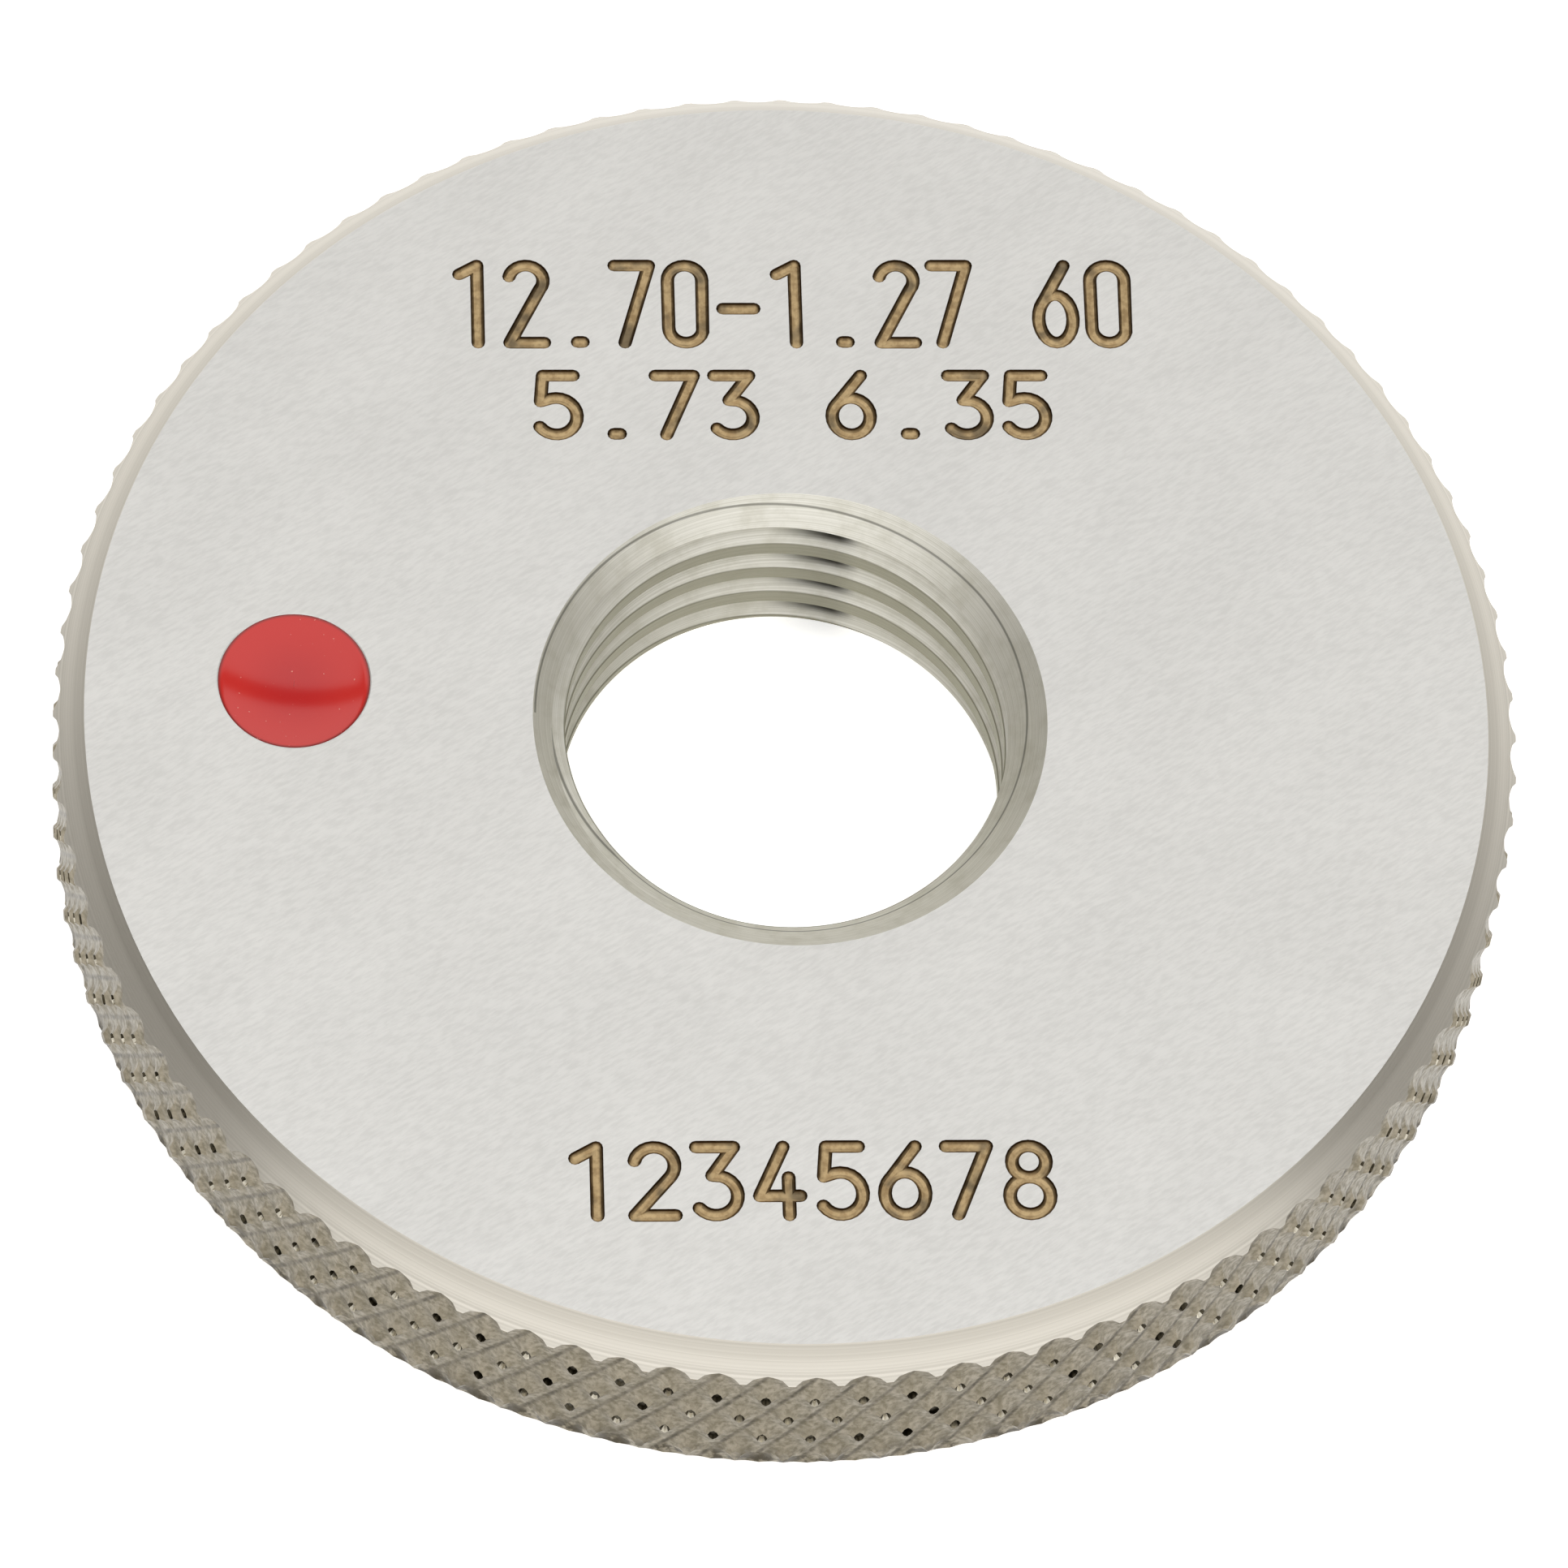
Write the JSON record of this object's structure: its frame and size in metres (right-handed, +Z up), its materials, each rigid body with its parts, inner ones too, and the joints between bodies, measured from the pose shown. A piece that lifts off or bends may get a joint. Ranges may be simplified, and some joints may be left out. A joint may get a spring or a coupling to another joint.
{
  "type": "thread ring gauge",
  "caption": "Round knurled steel ring with a threaded bore, chamfered faces and a small red-filled dimple, for checking an external thread.",
  "frame": {"origin": "on the thread axis, in the plane of the underside", "axes": "+Z up along the bore, +X from the red dimple through the bore to the far side, +Y to the side where two lines of figures stand"},
  "size_m": [0.038, 0.038, 0.0062],
  "materials": {
    "steel": "fine ground faces, turned chamfers, rolled knurl",
    "lacquer": "gloss red lacquer"
  },
  "bodies": {
    "root": {"gauge_ring": "steel", "red_mark": "lacquer"}
  },
  "joints": []
}
